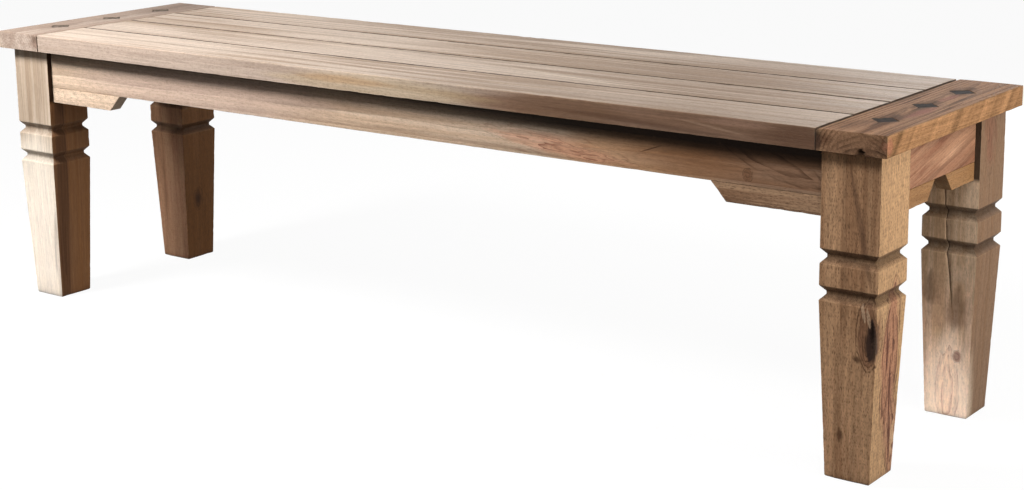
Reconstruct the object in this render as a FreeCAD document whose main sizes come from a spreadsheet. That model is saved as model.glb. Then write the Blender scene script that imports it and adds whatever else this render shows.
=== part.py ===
import FreeCAD, Part
import math
import os

import Sketcher
from FreeCAD import Placement, Rotation, Vector

# A rustic dining bench in solid wood, in millimetres.
# X runs along the bench, Y from front to back, Z up; the origin is on the floor under the middle.

doc = FreeCAD.newDocument("dining_bench")
sheet = doc.addObject("Spreadsheet::Sheet", "sizes")

# Driving dimensions
SIZES = {
    # whole bench
    "bench_length": 1600,
    "bench_width": 410,
    "bench_height": 450,
    # top
    "top_thickness": 28,
    "breadboard_width": 94,
    "shrinkage_gap": 1.5,
    "tongue_length": 16,
    "tongue_thickness": 10,
    "tongue_stop": 22,
    "tongue_play": 0.1,
    "tongue_end_play": 1,
    "seam_chamfer": 3.5,
    "edge_chamfer": 1.2,
    # iron diamonds
    "diamond_diagonal": 38,
    "diamond_thickness": 3,
    "diamond_bevel": 0.8,
    "diamond_spacing": 114,
    "nail_side": 6,
    "nail_point": 2,
    "nail_length": 18,
    "iron_play": 0.2,
    # legs
    "end_overhang": 15,
    "side_overhang": 18,
    "leg_side": 80,
    "foot_side": 62,
    "foot_chamfer": 2,
    "taper_height": 231,
    "collar_height": 28,
    "groove_height": 19,
    "groove_floor": 3,
    "groove_depth": 7,
    "corner_chamfer": 16,
    # aprons
    "apron_setback": 8,
    "apron_thickness": 22,
    "apron_depth": 62,
    "bracket_depth": 25,
    "long_bracket_foot": 137,
    "long_bracket_run": 23,
    "end_notch_width": 32,
    "end_notch_run": 21,
    # bearers under the top
    "bearer_width": 45,
    "bearer_thickness": 20,
    "bearer_spacing": 400,
    "bearer_housing": 8,
    "bearer_play": 0.2,
    "bearer_chamfer": 3,
    # corner blocks
    "block_thickness": 20,
    "block_height": 72,
    "block_clearance": 2,
    # hanger bolts, with their washers and nuts
    "bolt_diameter": 8,
    "bolt_spacing": 36,
    "bolt_tip_gap": 5,
    "bolt_end": 4,
    "bolt_play": 0.1,
    "block_hole_play": 0.5,
    "washer_diameter": 20,
    "washer_thickness": 2,
    "nut_width": 13,
    "nut_height": 6.5,
    # wood screws
    "screw_diameter": 4,
    "screw_head_diameter": 8,
    "screw_head_height": 2.5,
    "screw_play": 0.1,
    "screw_pocket_play": 0.5,
    "board_bite": 12,
    "apron_bite": 14,
    "pilot_extra": 1,
    "block_screw_seat": 8,
    "block_screw_spacing": 42,
    "board_screw_shift": 26,
}

for row, (name, size) in enumerate(SIZES.items(), start=1):
    sheet.set(f"A{row}", name)
    sheet.set(f"B{row}", str(size))
    sheet.setAlias(f"B{row}", name)
doc.recompute()

# Lengths that follow from the driving dimensions
BOARD_NAMES = ("front", "mid_front", "mid_back", "back")
BOARD_WIDTH = f"(sizes.bench_width / {len(BOARD_NAMES)})"
BOARD_LENGTH = "(sizes.bench_length - 2 * sizes.breadboard_width - 2 * sizes.shrinkage_gap)"
UNDERSIDE = "(sizes.bench_height - sizes.top_thickness)"
BREADBOARD_X = "((sizes.bench_length - sizes.breadboard_width) / 2)"
LEG_X = "(sizes.bench_length / 2 - sizes.end_overhang - sizes.leg_side / 2)"
LEG_Y = "(sizes.bench_width / 2 - sizes.side_overhang - sizes.leg_side / 2)"
LONG_APRON_LENGTH = f"(2 * {LEG_X} - sizes.leg_side)"
END_APRON_LENGTH = f"(2 * {LEG_Y} - sizes.leg_side)"
APRON_TO_LEG = "(sizes.leg_side / 2 - sizes.apron_setback)"
# From the leg's inner face back to the apron's inner face
APRON_RECESS = "(sizes.leg_side - sizes.apron_setback - sizes.apron_thickness)"
# From the leg's inner face to the middle of the corner block's end, along the apron
BLOCK_SCREW_X = f"({APRON_RECESS} - sizes.corner_chamfer + sizes.block_thickness / sqrt(2))"
BLOCK_MIDDLE = f"({UNDERSIDE} - sizes.block_height / 2)"
# From the leg's middle to the flat on its inner corner, along the diagonal
LEG_TO_FLAT = "((sizes.leg_side - sizes.corner_chamfer) / sqrt(2))"

# Heights of each leg's two bolts, with their place across the diagonal
BOLT_CENTRES = [("0", f"{BLOCK_MIDDLE} + {step} * sizes.bolt_spacing") for step in (-0.5, 0.5)]

# What repeats: the side of the middle that each piece is on, or its step along a row
SIDES = {"left": -1, "right": 1}
FACES = {"front": -1, "back": 1}
DIAMOND_STEPS = {"front": -1, "middle": 0, "back": 1}
BEARER_STEPS = {"left": -1, "middle": 0, "right": 1}
# Sides in X and Y, and the quarter turn that carries the front left corner there
CORNERS = {
    "front_left": (-1, -1, 0),
    "front_right": (1, -1, 90),
    "back_right": (1, 1, 180),
    "back_left": (-1, 1, 270),
}
# Turn of an upright sketch that makes it face along a leg's diagonal
DIAGONAL_TURN = -45

parts = []


def value(expression):
    """The number that an expression gives with the sheet's present sizes."""
    result = sheet.evalExpression(expression)
    return float(getattr(result, "Value", result))


def place(part, x="0", y="0", z="0", turn=0):
    """Set a part's place from expressions, turned about Z by whole degrees."""
    part.Placement = Placement(Vector(), Rotation(Vector(0, 0, 1), turn))
    for axis, expression in (("x", x), ("y", y), ("z", z)):
        part.setExpression(f"Placement.Base.{axis}", expression)
    parts.append(part)


def new_body(label):
    body = doc.addObject("PartDesign::Body", label)
    body.Label = label
    return body


def origin_feature(body, role):
    return next(item for item in body.Origin.OriginFeatures if item.Role == role)


def new_sketch(body, name, plane, offset="0", turn=0):
    """A sketch on one of the body's planes, moved along its normal and turned about its upright."""
    sketch = body.newObject("Sketcher::SketchObject", name)
    sketch.AttachmentSupport = [(origin_feature(body, plane), "")]
    sketch.MapMode = "FlatFace"
    sketch.AttachmentOffset = Placement(Vector(), Rotation(Vector(0, 1, 0), turn))
    sketch.setExpression("AttachmentOffset.Base.z", offset)
    return sketch


def pin_point(sketch, geometry, point, x, y, label):
    """Hold one point of a sketch at the coordinates that two expressions give."""
    for kind, expression in (("DistanceX", x), ("DistanceY", y)):
        constraint = Sketcher.Constraint(kind, -1, 1, geometry, point, value(expression))
        index = sketch.addConstraint(constraint)
        name = f"{label}_{kind[-1].lower()}"
        sketch.renameConstraint(index, name)
        sketch.setExpression(f"Constraints.{name}", expression)


def polygon(sketch, corners):
    """A closed outline through corners given as pairs of expressions."""
    points = [Vector(value(x), value(y), 0) for x, y in corners]
    count = len(points)
    for index in range(count):
        sketch.addGeometry(Part.LineSegment(points[index], points[(index + 1) % count]))
    for index in range(count):
        sketch.addConstraint(Sketcher.Constraint("Coincident", index, 2, (index + 1) % count, 1))
    for index, (x, y) in enumerate(corners):
        pin_point(sketch, index, 1, x, y, f"corner{index}")


def rectangle(sketch, low_x, low_y, high_x, high_y):
    polygon(sketch, [(low_x, low_y), (high_x, low_y), (high_x, high_y), (low_x, high_y)])


def square(sketch, side):
    rectangle(sketch, f"-{side} / 2", f"-{side} / 2", f"{side} / 2", f"{side} / 2")


def circles(sketch, centres, diameter):
    """Equal circles at centres given as pairs of expressions."""
    for index, (x, y) in enumerate(centres):
        middle = Vector(value(x), value(y), 0)
        sketch.addGeometry(Part.Circle(middle, Vector(0, 0, 1), value(diameter) / 2))
        pin_point(sketch, index, 3, x, y, f"centre{index}")
        ring = sketch.addConstraint(Sketcher.Constraint("Diameter", index, value(diameter)))
        sketch.renameConstraint(ring, f"hole{index}")
        sketch.setExpression(f"Constraints.hole{index}", diameter)


def pad(body, sketch, length, midplane=False, reverse=False):
    feature = body.newObject("PartDesign::Pad", f"{sketch.Name}_pad")
    feature.Profile = sketch
    feature.setExpression("Length", length)
    feature.Midplane = midplane
    feature.Reversed = reverse
    doc.recompute()
    return feature


def pocket(body, sketch, length=None, midplane=False, reverse=False):
    """Cut a sketch out of the body, right through it where no length is given."""
    volume_before = body.Shape.Volume
    feature = body.newObject("PartDesign::Pocket", f"{sketch.Name}_pocket")
    feature.Profile = sketch
    if length is None:
        feature.Type = "ThroughAll"
    else:
        feature.setExpression("Length", length)
    feature.Midplane = midplane
    feature.Reversed = reverse
    doc.recompute()
    if body.Shape.Volume >= volume_before:
        raise RuntimeError(f"{feature.Name} cuts nothing")
    return feature


def loft(body, sketches):
    feature = body.newObject("PartDesign::AdditiveLoft", f"{sketches[0].Name}_loft")
    feature.Profile = sketches[0]
    feature.Sections = [(sketch, [""]) for sketch in sketches[1:]]
    feature.Ruled = True
    doc.recompute()
    return feature


def repeat(body, features, axis, length, count):
    """Repeat features evenly along one of the body's axes."""
    pattern = body.newObject("PartDesign::LinearPattern", f"{features[0].Name}_row")
    pattern.Originals = features
    pattern.Direction = (origin_feature(body, axis), [""])
    pattern.setExpression("Length", length)
    pattern.Occurrences = count
    body.Tip = pattern
    doc.recompute()
    return pattern


# Top boards: V-edged planks with a tongue at each end, which stops short of the bench's long edges
def make_top_board(label, row):
    body = new_body(label)
    half = f"{BOARD_WIDTH} / 2"
    last_row = len(BOARD_NAMES) - 1
    at_long_edge = row in (0, last_row)
    stop = "sizes.tongue_stop" if at_long_edge else "0"
    outer_chamfer = "sizes.edge_chamfer" if at_long_edge else "sizes.seam_chamfer"
    section = new_sketch(body, f"{label}_section", "YZ_Plane")
    polygon(section, [
        (f"-{half}", "0"),
        (half, "0"),
        (half, "sizes.top_thickness - sizes.seam_chamfer"),
        (f"{half} - sizes.seam_chamfer", "sizes.top_thickness"),
        (f"{outer_chamfer} - {half}", "sizes.top_thickness"),
        (f"-{half}", f"sizes.top_thickness - {outer_chamfer}"),
    ])
    pad(body, section, BOARD_LENGTH, midplane=True)
    tongue = new_sketch(body, f"{label}_tongue", "YZ_Plane")
    rectangle(tongue, f"{stop} - {half}", "(sizes.top_thickness - sizes.tongue_thickness) / 2",
              half, "(sizes.top_thickness + sizes.tongue_thickness) / 2")
    pad(body, tongue, f"{BOARD_LENGTH} + 2 * sizes.tongue_length", midplane=True)
    pilot = new_sketch(body, f"{label}_pilot", "XY_Plane")
    circles(pilot, [("-sizes.bearer_spacing", "sizes.board_screw_shift")],
            "sizes.screw_diameter + 2 * sizes.screw_play")
    drilled = pocket(body, pilot, "sizes.board_bite + sizes.pilot_extra", reverse=True)
    repeat(body, [drilled], "X_Axis", "2 * sizes.bearer_spacing", len(BEARER_STEPS))
    middle = f"{BOARD_WIDTH} * {row - last_row / 2}"
    turn = 0 if row < len(BOARD_NAMES) / 2 else 180
    place(body, y=middle, z=UNDERSIDE, turn=turn)


# Breadboard ends: a stopped groove for the tongues, and let in for the iron diamonds
def make_breadboard(label, side):
    body = new_body(label)
    inner = "-sizes.breadboard_width / 2"
    outer = "sizes.breadboard_width / 2"
    section = new_sketch(body, f"{label}_section", "XZ_Plane")
    polygon(section, [
        (inner, "0"),
        (f"{outer} - sizes.edge_chamfer", "0"),
        (outer, "sizes.edge_chamfer"),
        (outer, "sizes.top_thickness - sizes.edge_chamfer"),
        (f"{outer} - sizes.edge_chamfer", "sizes.top_thickness"),
        (f"{inner} + sizes.seam_chamfer", "sizes.top_thickness"),
        (inner, "sizes.top_thickness - sizes.seam_chamfer"),
    ])
    pad(body, section, "sizes.bench_width", midplane=True)
    groove = new_sketch(body, f"{label}_groove", "YZ_Plane", offset=inner)
    reach = "(sizes.bench_width / 2 - sizes.tongue_stop + sizes.tongue_end_play)"
    rectangle(groove, f"-{reach}", "(sizes.top_thickness - sizes.tongue_thickness) / 2 - sizes.tongue_play",
              reach, "(sizes.top_thickness + sizes.tongue_thickness) / 2 + sizes.tongue_play")
    pocket(body, groove, "sizes.tongue_length - sizes.shrinkage_gap + sizes.tongue_end_play", reverse=True)
    recess = new_sketch(body, f"{label}_recess", "XY_Plane", offset="sizes.top_thickness")
    diamond(recess, "sizes.diamond_diagonal + 2 * sizes.iron_play * sqrt(2)", "-sizes.diamond_spacing")
    seat = pocket(body, recess, "sizes.diamond_thickness")
    hole = new_sketch(body, f"{label}_nail_hole", "XY_Plane", offset="sizes.top_thickness")
    circles(hole, [("0", "-sizes.diamond_spacing")], "sizes.nail_side * sqrt(2) + 2 * sizes.iron_play")
    drilled = pocket(body, hole, "sizes.diamond_thickness + sizes.nail_length + sizes.pilot_extra")
    repeat(body, [seat, drilled], "Y_Axis", "2 * sizes.diamond_spacing", len(DIAMOND_STEPS))
    place(body, x=f"{side} * {BREADBOARD_X}", z=UNDERSIDE, turn=0 if side > 0 else 180)


def diamond(sketch, diagonal, middle_y="0"):
    """A square standing on its corner."""
    reach = f"({diagonal}) / 2"
    polygon(sketch, [
        ("0", f"{middle_y} - {reach}"),
        (reach, middle_y),
        ("0", f"{middle_y} + {reach}"),
        (f"-{reach}", middle_y),
    ])


# Iron diamonds: a bevelled plate, flush with the wood, on a tapered square nail
def make_iron_diamond(label, side, step):
    body = new_body(label)
    bevel = "sizes.diamond_bevel"
    levels = (
        ("seat", "-sizes.diamond_thickness", "sizes.diamond_diagonal"),
        ("rim", f"-{bevel}", "sizes.diamond_diagonal"),
        ("face", "0", f"sizes.diamond_diagonal - 2 * {bevel}"),
    )
    outlines = []
    for name, level, diagonal in levels:
        outline = new_sketch(body, f"{label}_{name}", "XY_Plane", offset=level)
        diamond(outline, diagonal)
        outlines.append(outline)
    loft(body, outlines)
    top = new_sketch(body, f"{label}_nail", "XY_Plane", offset="-sizes.diamond_thickness")
    square(top, "sizes.nail_side")
    point = new_sketch(body, f"{label}_point", "XY_Plane",
                       offset="-sizes.diamond_thickness - sizes.nail_length")
    square(point, "sizes.nail_point")
    loft(body, [top, point])
    place(body, x=f"{side} * {BREADBOARD_X}", y=f"{step} * sizes.diamond_spacing", z="sizes.bench_height")


# Legs: one square section carried from the foot up through the taper, grooves and collar
def leg_sections():
    """Name, height and side of each square that the leg passes through, from the floor up."""
    slope = "(sizes.groove_height - sizes.groove_floor) / 2"
    waist = "(sizes.leg_side - 2 * sizes.groove_depth)"
    collar_low = "(sizes.taper_height + sizes.groove_height)"
    collar_high = f"({collar_low} + sizes.collar_height)"
    full = "sizes.leg_side"
    return (
        ("sole", "0", "(sizes.foot_side - 2 * sizes.foot_chamfer)"),
        ("foot", "sizes.foot_chamfer", "sizes.foot_side"),
        ("taper_top", "sizes.taper_height", full),
        ("lower_groove_low", f"sizes.taper_height + {slope}", waist),
        ("lower_groove_high", f"{collar_low} - {slope}", waist),
        ("collar_low", collar_low, full),
        ("collar_high", collar_high, full),
        ("upper_groove_low", f"{collar_high} + {slope}", waist),
        ("upper_groove_high", f"{collar_high} + sizes.groove_height - {slope}", waist),
        ("block_low", f"{collar_high} + sizes.groove_height", full),
        ("block_high", UNDERSIDE, full),
    )


def make_leg(label, corner):
    body = new_body(label)
    outlines = []
    for name, level, side in leg_sections():
        outline = new_sketch(body, f"{label}_{name}", "XY_Plane", offset=level)
        square(outline, side)
        outlines.append(outline)
    loft(body, outlines)
    flat = new_sketch(body, f"{label}_flat", "XY_Plane", offset=UNDERSIDE)
    edge = "sizes.leg_side / 2"
    polygon(flat, [
        (edge, edge),
        (f"{edge} - sizes.corner_chamfer", edge),
        (edge, f"{edge} - sizes.corner_chamfer"),
    ])
    pocket(body, flat, "sizes.block_height + sizes.block_clearance")
    bore = new_sketch(body, f"{label}_bolt_bore", "XZ_Plane", turn=DIAGONAL_TURN)
    circles(bore, BOLT_CENTRES, "sizes.bolt_diameter + 2 * sizes.bolt_play")
    pocket(body, bore, f"{LEG_TO_FLAT} + sizes.block_clearance")
    side_x, side_y, turn = corner
    place(body, x=f"{side_x} * {LEG_X}", y=f"{side_y} * {LEG_Y}", turn=turn)


# Aprons: boards on edge between the legs
def apron_board(body, length):
    outline = new_sketch(body, f"{body.Name}_outline", "XZ_Plane")
    rectangle(outline, f"-{length} / 2", "-sizes.apron_depth", f"{length} / 2", "0")
    pad(body, outline, "sizes.apron_thickness", reverse=True)


def drill_apron(body, length):
    """Pilot holes for the corner block screws, from the inner face."""
    holes = new_sketch(body, f"{body.Name}_pilot", "XZ_Plane", offset="-sizes.apron_thickness")
    reach = f"({length} / 2 - {BLOCK_SCREW_X})"
    middle = "-sizes.block_height / 2"
    centres = []
    for side in (-1, 1):
        for step in (-0.5, 0.5):
            centres.append((f"{side} * {reach}", f"{middle} + {step} * sizes.block_screw_spacing"))
    circles(holes, centres, "sizes.screw_diameter + 2 * sizes.screw_play")
    pocket(body, holes, "sizes.apron_bite + sizes.pilot_extra", reverse=True)


def make_long_apron(label, side):
    body = new_body(label)
    apron_board(body, LONG_APRON_LENGTH)
    drill_apron(body, LONG_APRON_LENGTH)
    housing = new_sketch(body, f"{label}_housing", "XY_Plane")
    reach = "sizes.bearer_width / 2 + sizes.bearer_play"
    rectangle(housing, f"-sizes.bearer_spacing - ({reach})", "sizes.apron_thickness - sizes.bearer_housing",
              f"-sizes.bearer_spacing + {reach}", "sizes.apron_thickness")
    cut = pocket(body, housing, "sizes.bearer_thickness")
    repeat(body, [cut], "X_Axis", "2 * sizes.bearer_spacing", len(BEARER_STEPS))
    place(body, y=f"{side} * ({LEG_Y} + {APRON_TO_LEG})", z=UNDERSIDE, turn=0 if side < 0 else 180)


def make_end_apron(label, side):
    body = new_body(label)
    apron_board(body, END_APRON_LENGTH)
    drill_apron(body, END_APRON_LENGTH)
    place(body, x=f"{side} * ({LEG_X} + {APRON_TO_LEG})", z=UNDERSIDE, turn=90 * side)


# Brackets: slant-ended blocks glued under both ends of every apron, against the legs
def bracket_block(body, hand, length, roof, mouth):
    """Drawn in the apron's own frame: half widths between the pair of brackets, above and below."""
    outline = new_sketch(body, f"{body.Name}_outline", "XZ_Plane")
    glue_line = "-sizes.apron_depth"
    underside = "-(sizes.apron_depth + sizes.bracket_depth)"
    polygon(outline, [
        (f"{hand} * {length} / 2", glue_line),
        (f"{hand} * {length} / 2", underside),
        (f"{hand} * {mouth}", underside),
        (f"{hand} * {roof}", glue_line),
    ])
    pad(body, outline, "sizes.apron_thickness", reverse=True)


def make_long_bracket(label, side, hand):
    body = new_body(label)
    mouth = f"({LONG_APRON_LENGTH} / 2 - sizes.long_bracket_foot)"
    roof = f"({mouth} - sizes.long_bracket_run)"
    bracket_block(body, -side * hand, LONG_APRON_LENGTH, roof, mouth)
    place(body, y=f"{side} * ({LEG_Y} + {APRON_TO_LEG})", z=UNDERSIDE, turn=0 if side < 0 else 180)


def make_end_bracket(label, side, hand):
    body = new_body(label)
    roof = "(sizes.end_notch_width / 2)"
    mouth = f"({roof} + sizes.end_notch_run)"
    bracket_block(body, side * hand, END_APRON_LENGTH, roof, mouth)
    place(body, x=f"{side} * ({LEG_X} + {APRON_TO_LEG})", z=UNDERSIDE, turn=90 * side)


# Bearers: cross battens housed in the long aprons, with chamfered lower edges
def make_bearer(label, step):
    body = new_body(label)
    half = "sizes.bearer_width / 2"
    section = new_sketch(body, f"{label}_section", "XZ_Plane")
    polygon(section, [
        (f"{half} - sizes.bearer_chamfer", "-sizes.bearer_thickness"),
        (half, "sizes.bearer_chamfer - sizes.bearer_thickness"),
        (half, "0"),
        (f"-{half}", "0"),
        (f"-{half}", "sizes.bearer_chamfer - sizes.bearer_thickness"),
        (f"sizes.bearer_chamfer - {half}", "-sizes.bearer_thickness"),
    ])
    inner = f"({LEG_Y} + {APRON_TO_LEG} - sizes.apron_thickness)"
    pad(body, section, f"2 * ({inner} + sizes.bearer_housing - sizes.bearer_play)", midplane=True)
    holes = new_sketch(body, f"{label}_holes", "XY_Plane")
    centres = [("0", y) for y in board_screw_rows()]
    circles(holes, centres, "sizes.screw_diameter + 2 * sizes.screw_play")
    pocket(body, holes)
    heads = new_sketch(body, f"{label}_heads", "XY_Plane", offset="-sizes.bearer_thickness")
    circles(heads, centres, "sizes.screw_head_diameter + 2 * sizes.screw_pocket_play")
    pocket(body, heads, "sizes.screw_head_height", reverse=True)
    place(body, x=f"{step} * sizes.bearer_spacing", z=UNDERSIDE)


def board_screw_rows():
    """Distance of each board's screw row from the middle of the bench, as expressions."""
    rows = []
    for row in range(len(BOARD_NAMES)):
        middle = row - (len(BOARD_NAMES) - 1) / 2
        inward = 1 if middle < 0 else -1
        rows.append(f"{BOARD_WIDTH} * {middle} + {inward} * sizes.board_screw_shift")
    return rows


# Corner blocks: slanted braces between two aprons, drawn up against the leg by its bolts
def make_corner_block(label, corner):
    body = new_body(label)
    recess = APRON_RECESS
    outer = "(-sizes.corner_chamfer)"
    inner = "(sizes.block_thickness * sqrt(2) - sizes.corner_chamfer)"
    outline = new_sketch(body, f"{label}_outline", "XY_Plane", offset=f"{UNDERSIDE} - sizes.block_height")
    polygon(outline, [
        (f"{outer} + {recess}", f"-{recess}"),
        (f"{inner} + {recess}", f"-{recess}"),
        (f"-{recess}", f"{inner} + {recess}"),
        (f"-{recess}", f"{outer} + {recess}"),
    ])
    pad(body, outline, "sizes.block_height")
    bore = new_sketch(body, f"{label}_bolt_bore", "XZ_Plane", turn=DIAGONAL_TURN)
    circles(bore, BOLT_CENTRES, "sizes.bolt_diameter + 2 * sizes.block_hole_play")
    pocket(body, bore, midplane=True)
    seat = f"{recess} - sizes.block_screw_seat"
    for plane, offset, flip in (("XZ_Plane", seat, False), ("YZ_Plane", f"-({seat})", True)):
        centres = [(BLOCK_SCREW_X, f"{BLOCK_MIDDLE} + {step} * sizes.block_screw_spacing")
                   for step in (-0.5, 0.5)]
        shanks = new_sketch(body, f"{label}_{plane[0]}_shanks", plane, offset=offset)
        circles(shanks, centres, "sizes.screw_diameter + 2 * sizes.screw_play")
        pocket(body, shanks, "sizes.block_screw_seat", reverse=not flip)
        heads = new_sketch(body, f"{label}_{plane[0]}_heads", plane, offset=offset)
        circles(heads, centres, "sizes.screw_head_diameter + 2 * sizes.screw_pocket_play")
        pocket(body, heads, "sizes.block_thickness * 2", reverse=flip)
    side_x, side_y, turn = corner
    place(body, x=f"{side_x} * ({LEG_X} - sizes.leg_side / 2)",
          y=f"{side_y} * ({LEG_Y} - sizes.leg_side / 2)", turn=turn)


# Fasteners: one shape along +X from its seat, repeated at every place it is used
def wood_screw(bite):
    """A screw whose head rests on the plane x = 0 and whose point runs along +X."""
    radius = value("sizes.screw_diameter") / 2
    head = Part.makeCylinder(value("sizes.screw_head_diameter") / 2, value("sizes.screw_head_height"),
                             Vector(-value("sizes.screw_head_height"), 0, 0), Vector(1, 0, 0))
    shank = Part.makeCylinder(radius, bite - radius, Vector(), Vector(1, 0, 0))
    point = Part.makeCone(radius, 0, radius, Vector(bite - radius, 0, 0), Vector(1, 0, 0))
    return head.fuse([shank, point]).removeSplitter()


def group(label, shape, placements):
    """One node that holds equal, separate fasteners."""
    copies = []
    for placement in placements:
        copy = shape.copy()
        copy.Placement = placement
        copies.append(copy)
    feature = doc.addObject("Part::Feature", label)
    feature.Label = label
    feature.Shape = Part.makeCompound(copies)
    parts.append(feature)


def corner_frames():
    """Middle of each leg and the turn that points +X from it to its inner corner."""
    for side_x, side_y, turn in CORNERS.values():
        yield Vector(side_x * value(LEG_X), side_y * value(LEG_Y), 0), turn


def bolt_placements(distance):
    """Every bolt's axis, from a point at this distance from the leg's middle."""
    placements = []
    for middle, turn in corner_frames():
        for _, height in BOLT_CENTRES:
            spin = Rotation(Vector(0, 0, 1), turn + 45)
            start = middle + Vector(0, 0, value(height)) + spin.multVec(Vector(distance, 0, 0))
            placements.append(Placement(start, spin))
    return placements


def make_bolts():
    flat = value(LEG_TO_FLAT)
    face = flat + value("sizes.block_thickness")
    radius = value("sizes.bolt_diameter") / 2
    along = Vector(1, 0, 0)
    start = value("sizes.bolt_tip_gap")
    end = face + value("sizes.washer_thickness + sizes.nut_height + sizes.bolt_end")
    shank = Part.makeCylinder(radius, end - start - radius, Vector(radius, 0, 0), along)
    tip = Part.makeCone(radius / 2, radius, radius, Vector(), along)
    group("hanger_bolts", shank.fuse(tip).removeSplitter(), bolt_placements(start))
    bore = radius + value("sizes.bolt_play")
    thickness = value("sizes.washer_thickness")
    washer = Part.makeCylinder(value("sizes.washer_diameter") / 2, thickness, Vector(), along)
    washer = washer.cut(Part.makeCylinder(bore, thickness, Vector(), along))
    group("bolt_washers", washer, bolt_placements(face))
    height = value("sizes.nut_height")
    reach = value("sizes.nut_width") / math.sqrt(3)
    ring = [Vector(0, reach * math.cos(math.radians(60 * k)), reach * math.sin(math.radians(60 * k)))
            for k in range(7)]
    nut = Part.Face(Part.makePolygon(ring)).extrude(Vector(height, 0, 0))
    nut = nut.cut(Part.makeCylinder(bore, height, Vector(), along))
    group("bolt_nuts", nut, bolt_placements(face + thickness))


def make_block_screws():
    """Two screws into each apron at every corner block."""
    screw = wood_screw(value("sizes.block_screw_seat + sizes.apron_bite"))
    reach = value(BLOCK_SCREW_X)
    seat = value(f"{APRON_RECESS} - sizes.block_screw_seat")
    inner = value("sizes.leg_side") / 2
    placements = []
    for middle, turn in corner_frames():
        spin = Rotation(Vector(0, 0, 1), turn)
        for step in (-0.5, 0.5):
            height = value(f"{BLOCK_MIDDLE} + {step} * sizes.block_screw_spacing")
            for x, y, aim in ((inner + reach, inner - seat, -90), (inner - seat, inner + reach, 180)):
                start = middle + spin.multVec(Vector(x, y, height))
                placements.append(Placement(start, spin.multiply(Rotation(Vector(0, 0, 1), aim))))
    group("corner_block_screws", screw, placements)


def make_bearer_screws():
    """One screw up into each board at every bearer."""
    seat = value(f"{UNDERSIDE} - sizes.bearer_thickness + sizes.screw_head_height")
    depth = value("sizes.bearer_thickness - sizes.screw_head_height + sizes.board_bite")
    upright = Rotation(Vector(0, 1, 0), -90)
    placements = []
    for step in BEARER_STEPS.values():
        for row in board_screw_rows():
            start = Vector(step * value("sizes.bearer_spacing"), value(row), seat)
            placements.append(Placement(start, upright))
    group("bearer_screws", wood_screw(depth), placements)


for row, name in enumerate(BOARD_NAMES):
    make_top_board(f"top_board_{name}", row)
for name, side in SIDES.items():
    make_breadboard(f"breadboard_{name}", side)
    make_end_apron(f"end_apron_{name}", side)
    for place_name, hand in FACES.items():
        make_end_bracket(f"end_bracket_{name}_{place_name}", side, hand)
    for place_name, step in DIAMOND_STEPS.items():
        make_iron_diamond(f"iron_diamond_{name}_{place_name}", side, step)
for name, corner in CORNERS.items():
    make_leg(f"leg_{name}", corner)
    make_corner_block(f"corner_block_{name}", corner)
for name, side in FACES.items():
    make_long_apron(f"long_apron_{name}", side)
    for place_name, hand in SIDES.items():
        make_long_bracket(f"long_bracket_{name}_{place_name}", side, hand)
for name, step in BEARER_STEPS.items():
    make_bearer(f"bearer_{name}", step)
make_bolts()
make_block_screws()
make_bearer_screws()
doc.recompute()

# Every object has to be sound before anything is written
for item in doc.Objects:
    if "Invalid" in item.State or "Error" in item.State:
        raise RuntimeError(f"{item.Label} failed: {item.State}")
for part in parts:
    if part.Shape.isNull() or not part.Shape.isValid():
        raise RuntimeError(f"{part.Label} has no sound shape")

os.makedirs("parts", exist_ok=True)
for part in parts:
    part.Shape.exportStep(f"parts/{part.Label}.step")
    print(part.Label, len(part.Shape.Solids), round(part.Shape.Volume))
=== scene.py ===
import math

import bmesh
import bpy
from mathutils import Matrix, Vector, geometry, kdtree, noise


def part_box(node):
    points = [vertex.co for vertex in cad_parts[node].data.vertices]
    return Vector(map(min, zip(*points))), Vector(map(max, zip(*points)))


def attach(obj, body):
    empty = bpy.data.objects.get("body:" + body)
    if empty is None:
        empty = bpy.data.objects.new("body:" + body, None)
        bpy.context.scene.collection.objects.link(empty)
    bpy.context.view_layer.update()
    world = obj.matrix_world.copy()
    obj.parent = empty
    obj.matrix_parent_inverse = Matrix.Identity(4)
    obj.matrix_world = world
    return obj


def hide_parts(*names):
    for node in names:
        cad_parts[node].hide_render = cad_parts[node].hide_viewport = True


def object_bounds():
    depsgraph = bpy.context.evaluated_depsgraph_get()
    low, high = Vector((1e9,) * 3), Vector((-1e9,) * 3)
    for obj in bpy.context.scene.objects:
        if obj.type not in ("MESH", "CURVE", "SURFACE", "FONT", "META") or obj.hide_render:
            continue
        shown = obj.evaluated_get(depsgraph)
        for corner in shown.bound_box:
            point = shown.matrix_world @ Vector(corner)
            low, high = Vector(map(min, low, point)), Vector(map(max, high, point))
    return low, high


# A rustic dining bench in brushed solid wood, in metres.
# X runs along the bench, Y from front to back, Z up; the origin is on the floor under the middle.

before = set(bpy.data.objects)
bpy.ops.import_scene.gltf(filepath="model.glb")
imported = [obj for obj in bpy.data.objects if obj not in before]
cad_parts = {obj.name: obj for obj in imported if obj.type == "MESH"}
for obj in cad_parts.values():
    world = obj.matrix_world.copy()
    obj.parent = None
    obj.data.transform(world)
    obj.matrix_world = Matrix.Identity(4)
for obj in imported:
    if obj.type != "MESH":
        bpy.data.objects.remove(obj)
cad_low, cad_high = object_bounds()
scene = bpy.context.scene

# Places on the bench
MM = 0.001
SEAT = cad_high.z
HALF_WIDTH = cad_high.y
SEAM_DEPTH = 3.5 * MM
BOARD_END = 704.5 * MM
LEG_X = 745 * MM
LEG_Y = 147 * MM
LEG_HALF = 40 * MM
GROOVE_DEPTH = 7 * MM
TAPER_TOP = 231 * MM
APRON_TOP = 422 * MM
BRACKET_BOTTOM = 335 * MM

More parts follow.
